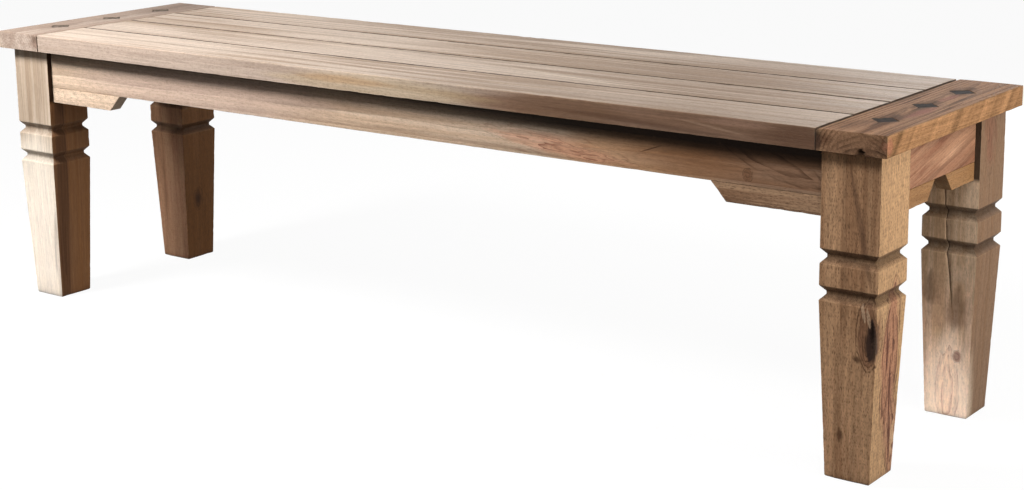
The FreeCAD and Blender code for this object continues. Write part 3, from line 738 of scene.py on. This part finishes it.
def leg_wood(name, tones, seed, heart, **grain):
    node = f"leg_{name}"
    middle = middle_of(node)
    return Wood(node, middle + Vector(heart), GRAIN_ALONG_Z, tones, seed, ring_width=14 * MM, **grain)


def leg_shape(name, seed, flank=0.35):
    return worked(f"leg_{name}", LEG_SLICES, Z, arris=0.7 * MM, seed=seed, dirt_and_shade=leg_dirt_and_shade(flank))


def show_leg(name, wood, shape):
    add_piece(f"dressed_leg_{name}", shape, f"leg_{name}", "leg_wood", wood.finish())


front_right = leg_wood("front_right", (srgb(198, 156, 119), srgb(158, 119, 88), srgb(76, 54, 40)), 40,
                       (0.06, 0.05, 0), rings=0.2, pores=0.6, mottle=0.9)
# the face that looks right is painted paler and golden, as painted light
front_right.paint_right_side_shading(srgb(200, 162, 122), 0.75)
# pale wood down the right face, and a dark slanting streak on the block
front_right.add_stain((0.784, -0.115, 0.12), (0.02, 0.014, 0.16), srgb(206, 168, 124), 0.7, softness=0.6,
                      wobble=0.3)
front_right.add_stain((0.760, -0.187, 0.330), (0.007, 0.012, 0.1), srgb(96, 70, 54), 0.6,
                      tilt=(0, -12, 0), softness=0.8, wobble=1.0)
# red heartwood up the right face, with dark streaks in it
front_right.add_figure((0.782, -0.143, 0.160), (0.03, 0.027, 0.11), srgb(178, 126, 100), srgb(80, 45, 36),
                       tilt=(-3, 0, 0), lines=2.6, wobble=0.7, contour=0.9, outline=0.7)
front_right.add_figure((0.777, -0.128, 0.062), (0.03, 0.021, 0.08), srgb(184, 136, 108), srgb(84, 48, 38),
                       tilt=(6, 0, 0), lines=2.4, wobble=0.7, contour=0.9, outline=0.7)
for across, height, reach in ((-0.152, 0.175, 0.05), (-0.138, 0.115, 0.06), (-0.130, 0.05, 0.045)):
    front_right.add_stain((0.781, across, height), (0.02, 0.0045, reach), srgb(92, 50, 40), 0.95,
                          tilt=(4, 0, 0), softness=0.8, wobble=1.2)
# a pale patch with a small red knot near the foot
front_right.add_stain((0.779, -0.121, 0.048), (0.02, 0.007, 0.028), srgb(216, 178, 142), softness=0.35)
front_right.add_stain((0.778, -0.117, 0.036), (0.02, 0.004, 0.006), RED_BROWN, softness=0.35)
# the black knot at the corner, the lines round it, and two pale splinters above it
front_right.add_figure((0.773, -0.185, 0.196), (0.018, 0.02, 0.052), srgb(136, 98, 74), DARK_BROWN,
                       lines=4.0, wobble=0.6, contour=0.9, outline=0.9)
front_right.add_stain((0.7775, -0.186, 0.189), (0.0105, 0.012, 0.036), KNOT_BLACK, 0.92, softness=0.5,
                      wobble=0.9)
for across, height in ((0.766, 0.224), (0.773, 0.218)):
    front_right.add_stain((across, -0.186, height), (0.003, 0.012, 0.015), srgb(202, 168, 138),
                          tilt=(0, -10, 0), softness=0.35)
# two small brown marks on the front face
front_right.add_stain((0.758, -0.185, 0.163), (0.009, 0.012, 0.006), DARK_BROWN, tilt=(0, 30, 0),
                      softness=0.8, wobble=0.5)
front_right.add_stain((0.735, -0.182, 0.062), (0.006, 0.012, 0.012), DARK_BROWN, softness=0.8)
shape = leg_shape("front_right", 21)
gouge(shape, (0.7785, -0.186, 0.199), (0.004, 0.006, 0.018), (0, 0.002, 0))
show_leg("front_right", front_right, shape)

back_right = leg_wood("back_right", (srgb(226, 197, 168), srgb(196, 162, 130), srgb(92, 66, 49)), 43,
                      (0.05, 0.06, 0), rings=0.3, pores=0.25, mottle=0.7)
# the face that looks right is painted darker, as painted shade
back_right.paint_right_side_shading(srgb(132, 99, 73), 0.85)
# a pale foot, partly painted light, and a pale spot at the top of the taper
back_right.add_stain((0.750, 0.112, -0.02), (0.075, 0.03, 0.18), srgb(244, 221, 198), 0.9, softness=0.7,
                     wobble=0.4)
back_right.add_stain((0.763, 0.109, 0.205), (0.018, 0.02, 0.018), srgb(222, 196, 170), 0.5, wobble=0.9)
# dark smudges on both sides of the crack, as painted shade above the lighter foot
back_right.add_stain((0.720, 0.110, 0.180), (0.016, 0.02, 0.032), srgb(110, 82, 62), 0.6, wobble=1.1)
back_right.add_stain((0.760, 0.110, 0.155), (0.024, 0.02, 0.042), srgb(96, 70, 52), 0.65, softness=1.0)
# a flame and a knot on the foot, and red figure high on the right face
back_right.add_figure((0.747, 0.114, 0.04), (0.018, 0.02, 0.066), srgb(240, 208, 180), srgb(176, 126, 102),
                      lines=2.2, wobble=0.7, strength=0.5, contour=0.75, outline=0.6)
back_right.add_figure((0.760, 0.112, 0.088), (0.007, 0.012, 0.010), srgb(146, 102, 88), DARK_BROWN,
                      lines=2.0)
back_right.add_figure((0.785, 0.138, 0.396), (0.02, 0.026, 0.066), srgb(150, 102, 80), srgb(84, 52, 42),
                      lines=3.2, wobble=1.5, softness=0.8, strength=0.6, outline=0.3)
shape = leg_shape("back_right", 22)
CRACK_PATH = ((0.735, 0.345), (0.737, 0.321), (0.742, 0.245), (0.753, 0.143))
cut_crack(shape, CRACK_PATH, 1.8 * MM, 2.2 * MM)
show_leg("back_right", back_right, shape)

front_left = leg_wood("front_left", (srgb(202, 184, 165), srgb(174, 153, 132), srgb(120, 92, 70)), 46,
                      (0.05, 0.05, 0), rings=0.5, pores=0.12, mottle=0.3, fibre=0.9)
# pale below as painted light, brown on the right face as painted shade, with a darker stripe down its front
# half
front_left.add_stain((-0.752, -0.19, 0.08), (0.2, 0.06, 0.24), srgb(236, 224, 208), 0.9, softness=0.5,
                     wobble=0.2)
front_left.paint_right_side_shading(srgb(150, 102, 62), 0.95)
front_left.add_figure((-0.703, -0.168, 0.15), (0.03, 0.016, 0.5), srgb(104, 70, 47), srgb(84, 56, 38),
                      softness=0.5, wobble=0.3)
show_leg("front_left", front_left, leg_shape("front_left", 23, flank=0.1))

back_left = leg_wood("back_left", (srgb(156, 118, 90), srgb(128, 93, 69), srgb(76, 52, 37)), 49,
                     (0.05, 0.05, 0), rings=0.5, pores=0.35, mottle=0.5)
# the face that looks right is painted darker, as painted shade
back_left.paint_right_side_shading(srgb(122, 80, 42), 0.8)
# a brown knot on the right face
knot_place = (-0.708, 0.142, 0.109)
back_left.add_figure(knot_place, (0.02, 0.013, 0.024), srgb(92, 60, 36), srgb(50, 32, 20), lines=2.0,
                     softness=0.6, outline=0.6)
back_left.add_stain(knot_place, (0.02, 0.008, 0.012), srgb(62, 40, 25), softness=0.7, wobble=0.5)
show_leg("back_left", back_left, leg_shape("back_left", 24))

# Long aprons and the brackets under their ends
LONG_APRON_FACE = -179 * MM
LONG_APRON_SLICES = ((X, 15 * MM), (Z, 7 * MM))
LONG_BRACKET_SLICES = ((X, 10 * MM), (Z, 8 * MM))


def colour_front_apron(rail):
    """Pinker left of the middle, golden and then brown on the right, with local figure."""
    def stain(along, height, size, colour, strength=0.8, softness=0.8, wobble=0.5, **how):
        rail.add_stain((along, LONG_APRON_FACE, height), size, colour, strength, softness, wobble, **how)

    def figure_lines(along, height, size, fill, line, **how):
        rail.add_figure((along, LONG_APRON_FACE, height), size, fill, line, **how)

    stain(-0.36, 0.39, (0.34, 0.03, 0.09), srgb(184, 160, 148), 0.6, wobble=0.4)
    stain(0.45, 0.38, (0.2, 0.03, 0.07), srgb(184, 138, 98), 0.75)
    stain(0.66, 0.39, (0.3, 0.03, 0.07), srgb(130, 88, 58))
    # a red flame, slanting dark lines, a knot and a short split
    figure_lines(0.315, 0.378, (0.15, 0.03, 0.019), srgb(214, 158, 128), RED_BROWN, tilt=(0, 6, 0),
                 lines=4.5, wobble=1.6, softness=0.9, strength=0.65, contour=0.75, outline=0.35)
    figure_lines(0.63, 0.398, (0.09, 0.03, 0.022), srgb(150, 112, 86), DARK_BROWN, tilt=(0, 18, 0),
                 lines=2.0, strength=0.4, contour=0.8, outline=0.7)
    figure_lines(0.599, 0.374, (0.008, 0.02, 0.009), srgb(128, 92, 68), srgb(66, 44, 32), lines=2.5,
                 outline=0.8)
    stain(0.456, 0.391, (0.022, 0.01, 0.0012), DARK_BROWN, softness=0.6, tilt=(0, -20, 0))


for index, name in enumerate(("front", "back")):
    node = f"long_apron_{name}"
    heart = middle_of(node) + Vector((0, 50 * MM, 10 * MM))
    rail = Wood(node, heart, GRAIN_ALONG_X, APRON_TONES, 60 + SEED_STEP * index, rings=0.5, pores=0.3,
                fibre=0.9, mottle=0.5)
    if name == "front":
        colour_front_apron(rail)
    # painted shade along the apron's top, under the seat's overhang
    shape = worked(node, LONG_APRON_SLICES, X, seed=30 + index, dirt_and_shade=overhang_painted_shade)
    add_piece(f"dressed_{node}", shape, node, "apron_wood", rail.finish())
    for hand, side_name in enumerate(("left", "right")):
        node = f"long_bracket_{name}_{side_name}"
        heart = middle_of(node) + Vector((0, 40 * MM, -20 * MM))
        tones = BRACKET_TONES if side_name == "right" else APRON_TONES
        seed = 80 + SEED_STEP * index + 7 * hand
        block = Wood(node, heart, GRAIN_ALONG_X, tones, seed, rings=0.7, mottle=0.8)
        shape = worked(node, LONG_BRACKET_SLICES, X, seed=50 + 2 * index + hand)
        add_piece(f"dressed_{node}", shape, node, "apron_wood", block.finish())

# End aprons and the brackets under their ends
TILTED_GRAIN = (0, math.radians(-12), math.pi / 2)
END_APRON_SLICES = ((Y, 15 * MM), (Z, 7 * MM))
END_BRACKET_SLICES = ((Y, 10 * MM), (Z, 8 * MM))


def band_end_apron(rail, face):
    """Slanting bands on an end apron: red, pale and red again."""
    def band(along, height, reach, thickness, colour, slant):
        rail.add_stain((face, along, height), (0.03, reach, thickness), colour, 0.75, wobble=0.9,
                       tilt=(slant, 0, 0))

    band(-0.01, 0.404, 0.075, 0.012, srgb(134, 82, 62), 12)
    band(0.03, 0.386, 0.07, 0.01, srgb(220, 174, 142), 12)
    band(-0.06, 0.376, 0.06, 0.008, srgb(130, 80, 60), 14)


for index, name in enumerate(("left", "right")):
    node = f"end_apron_{name}"
    heart = middle_of(node) + Vector((-50 * MM, 0, 20 * MM))
    rail = Wood(node, heart, TILTED_GRAIN, SALMON_TONES, 70 + SEED_STEP * index, rings=0.8,
                ring_width=12 * MM, pores=0.25, wander=18 * MM, fibre=1.2)
    band_end_apron(rail, middle_of(node).x)
    # painted shade along the apron's top, in the corner under the seat
    shape = worked(node, END_APRON_SLICES, Y, seed=40 + index, dirt_and_shade=corner_painted_shade)
    add_piece(f"dressed_{node}", shape, node, "apron_wood", rail.finish())
    for hand, side_name in enumerate(("front", "back")):
        node = f"end_bracket_{name}_{side_name}"
        heart = middle_of(node) + Vector((-40 * MM, 0, -20 * MM))
        seed = 100 + SEED_STEP * index + 7 * hand
        block = Wood(node, heart, GRAIN_ALONG_Y, GOLDEN_TONES, seed, rings=0.4, mottle=0.4)
        shape = worked(node, END_BRACKET_SLICES, Y, seed=60 + 2 * index + hand)
        add_piece(f"dressed_{node}", shape, node, "apron_wood", block.finish())


# Blackened iron diamonds, paler on the left as painted glare
def make_iron(name, dark, pale):
    """Scaled iron between two tones, with its edges rubbed bare."""
    material = bpy.data.materials.new(name)
    material.use_nodes = True
    tree = material.node_tree
    place = add_node(tree, "ShaderNodeTexCoord").outputs["Object"]
    scale = noise_at(tree, place, (160, 160, 160), 4.0, 0.65).outputs["Fac"]
    colour = blend(tree, ramp(tree, scale, 0.35, 0.7), dark, pale)
    edge = add_node(tree, "ShaderNodeAttribute", attribute_name="wear").outputs["Fac"]
    colour = blend(tree, product(tree, edge, product(tree, scale, 0.5)), colour, srgb(96, 86, 79))
    rough = calculate(tree, "ADD", product(tree, scale, 0.35), 0.5)
    grit = add_node(tree, "ShaderNodeBump", {"Strength": 0.3, "Distance": 0.4 * MM, "Height": scale})
    connect(tree, tree.nodes["Principled BSDF"],
            {"Base Color": colour, "Roughness": rough, "Specular IOR Level": 0.015,
             "Normal": grit.outputs[0]})
    return material


# the left diamonds take paler tones as painted glare
IRON = {"left": make_iron("glare_pale_iron", srgb(76, 66, 58), srgb(138, 124, 112)),
        "right": make_iron("blackened_iron", srgb(28, 23, 20), srgb(56, 46, 41))}
DENT_SIZE = 8 * MM
DENT_DEPTH = 0.7 * MM
DIAMOND_SLICES = ((X, 3 * MM), (Y, 3 * MM))
for side_name in ("left", "right"):
    for place_name in ("front", "middle", "back"):
        node = f"iron_diamond_{side_name}_{place_name}"
        shape = worked(node, DIAMOND_SLICES, Z, arris=0.3 * MM, shortest=10 * MM, depth=0, nick=0.6 * MM)
        for vert in shape.verts:
            if vert.normal.z > 0.5:
                vert.co.z -= DENT_DEPTH * limit(0.5 + noise.noise(vert.co / DENT_SIZE))
        add_piece(f"dressed_{node}", shape, node, "blackened_iron", IRON[side_name])

# Bearers, corner blocks and fasteners under the seat
BEARER_SLICES = ((Y, 25 * MM), (X, 10 * MM), (Z, 7 * MM))
CORNER_BLOCK_SLICES = ((Z, 18 * MM), (X, 12 * MM))
for index, name in enumerate(("left", "middle", "right")):
    node = f"bearer_{name}"
    heart = middle_of(node) + Vector((0.03, 0, 0.04))
    batten = Wood(node, heart, GRAIN_ALONG_Y, HIDDEN_TONES, 120 + SEED_STEP * index)
    shape = worked(node, BEARER_SLICES, Y, seed=70 + index)
    add_piece(f"dressed_{node}", shape, node, "hidden_wood", batten.finish())
for index, name in enumerate(("front_left", "front_right", "back_right", "back_left")):
    node = f"corner_block_{name}"
    lie = (0, 0, math.radians(135 + 90 * index))
    heart = middle_of(node) + Vector((0, 0, 0.05))
    block = Wood(node, heart, lie, HIDDEN_TONES, 140 + SEED_STEP * index)
    shape = worked(node, CORNER_BLOCK_SLICES, X, seed=80 + index)
    add_piece(f"dressed_{node}", shape, node, "hidden_wood", block.finish())


def make_zinc():
    """Zinc-plated steel for the fasteners."""
    material = bpy.data.materials.new("zinc_steel")
    material.use_nodes = True
    tree = material.node_tree
    place = add_node(tree, "ShaderNodeTexCoord").outputs["Object"]
    cloud = noise_at(tree, place, (220, 220, 220), 3.0).outputs["Fac"]
    colour = blend(tree, cloud, srgb(150, 150, 148), srgb(196, 196, 192))
    rough = calculate(tree, "ADD", product(tree, cloud, 0.3), 0.2)
    connect(tree, tree.nodes["Principled BSDF"],
            {"Base Color": colour, "Roughness": rough, "Metallic": 1.0})
    return material


zinc = make_zinc()
for node in ("hanger_bolts", "bolt_washers", "bolt_nuts", "corner_block_screws", "bearer_screws"):
    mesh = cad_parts[node].data
    mesh.materials.clear()
    mesh.materials.append(zinc)


# Floor and backdrop
def seen_rays(tree):
    """1 for what the camera sees, directly or in a reflection or through glass."""
    path = add_node(tree, "ShaderNodeLightPath").outputs
    seen = calculate(tree, "MAXIMUM", path["Is Camera Ray"], path["Is Glossy Ray"])
    return calculate(tree, "MAXIMUM", seen, path["Is Transmission Ray"])


FLOOR_SIZE = 9
FLOOR_WHITE = (0.9, 0.9, 0.9, 1)
FLOOR_DULL = (0.12, 0.12, 0.12, 1)
FLOOR_GLOW = 0.92
GLOW_LEVEL = 1.02


def make_floor():
    """A wide pale floor that keeps a faint shadow."""
    shape = bmesh.new()
    bmesh.ops.create_grid(shape, x_segments=1, y_segments=1, size=FLOOR_SIZE)
    mesh = bpy.data.meshes.new("floor")
    shape.to_mesh(mesh)
    shape.free()
    floor = bpy.data.objects.new("floor", mesh)
    scene.collection.objects.link(floor)
    material = bpy.data.materials.new("pale_floor")
    material.use_nodes = True
    tree = material.node_tree
    shader = tree.nodes["Principled BSDF"]
    seen = seen_rays(tree)
    # white to the camera, and dull to other rays, so that the floor throws little light up
    colour = blend(tree, seen, FLOOR_DULL, FLOOR_WHITE)
    connect(tree, shader, {"Base Color": colour, "Roughness": 0.9, "Specular IOR Level": 0.0})
    glow = add_node(tree, "ShaderNodeEmission", {"Color": (1, 1, 1, 1), "Strength": GLOW_LEVEL})
    share = product(tree, seen, FLOOR_GLOW)
    mixed = add_node(tree, "ShaderNodeMixShader", {0: share, 1: shader.outputs[0], 2: glow.outputs[0]})
    tree.links.new(mixed.outputs[0], tree.nodes["Material Output"].inputs["Surface"])
    mesh.materials.append(material)


make_floor()

# Fill light, and a white sky behind the floor
FILL_LIGHT = 0.17
world = bpy.data.worlds.new("studio")
scene.world = world
world.use_nodes = True
fill = world.node_tree.nodes["Background"]
connect(world.node_tree, fill, {"Color": (1, 1, 1, 1), "Strength": FILL_LIGHT})
white_sky = add_node(world.node_tree, "ShaderNodeBackground", {"Color": (1, 1, 1, 1), "Strength": 1.0})
sky = add_node(world.node_tree, "ShaderNodeMixShader",
               {0: seen_rays(world.node_tree), 1: fill.outputs[0], 2: white_sky.outputs[0]})
world.node_tree.links.new(sky.outputs[0], world.node_tree.nodes["World Output"].inputs["Surface"])


# Lamps
NEUTRAL = (1, 0.99, 0.98)
SOFT_WARM = (1, 0.98, 0.96)
WARM = (1, 0.95, 0.87)
WHITE = (1, 1, 1)


def add_lamp(name, place, target, size, power, colour, spread=180):
    """A round soft lamp, turned to a target."""
    data = bpy.data.lights.new(name, "AREA")
    data.shape = "DISK"
    data.size = size
    data.energy = power
    data.color = colour
    data.spread = math.radians(spread)
    lamp = bpy.data.objects.new(name, data)
    lamp.location = place
    lamp.rotation_euler = (Vector(target) - Vector(place)).to_track_quat("-Z", "Y").to_euler()
    scene.collection.objects.link(lamp)


add_lamp("key_front_left", (-0.95, -1.07, 1.35), (-0.1, 0, 0.3), 0.45, 36, NEUTRAL)
add_lamp("low_front_left", (-1.25, -1.45, 0.1), (-0.75, -0.18, 0.08), 0.15, 0.07, NEUTRAL, spread=16)
add_lamp("low_front", (-0.2, -1.3, 0.1), (0.75, 0.11, 0.02), 0.15, 0.08, NEUTRAL, spread=11)
add_lamp("soft_front_right", (1.5, -1.0, 1.6), (0.7, 0, 0.2), 0.8, 7.5, SOFT_WARM)
add_lamp("warm_right", (1.75, -0.15, 0.55), (0.78, -0.05, 0.25), 0.5, 8, WARM)
add_lamp("soft_back", (0.2, 2.2, 0.8), (0, 0, 0.3), 1.4, 28, WHITE)

# Camera at the photograph's place: the frame is 1024 x 490 pixels
FRAME_WIDTH = 1024
FOCAL_PIXELS = 1943.4
SENSOR_WIDTH = 36
CAMERA_PLACE = Vector((1.7741, -2.2568, 0.9067))
CAMERA_TARGET = Vector((0.0571, 0.0574, 0.2783))
CAMERA_ROLL = math.radians(-0.67)
FRAME_SHIFT = -80
camera_data = bpy.data.cameras.new("camera")
camera_data.sensor_width = SENSOR_WIDTH
camera_data.lens = FOCAL_PIXELS * SENSOR_WIDTH / FRAME_WIDTH
camera_data.shift_y = FRAME_SHIFT / FRAME_WIDTH
camera = bpy.data.objects.new("camera", camera_data)
look = (CAMERA_TARGET - CAMERA_PLACE).to_track_quat("-Z", "Y").to_matrix()
turn = look @ Matrix.Rotation(CAMERA_ROLL, 3, "Z")
camera.matrix_world = Matrix.Translation(CAMERA_PLACE) @ turn.to_4x4()
scene.collection.objects.link(camera)
scene.camera = camera

scene.view_settings.view_transform = "Standard"
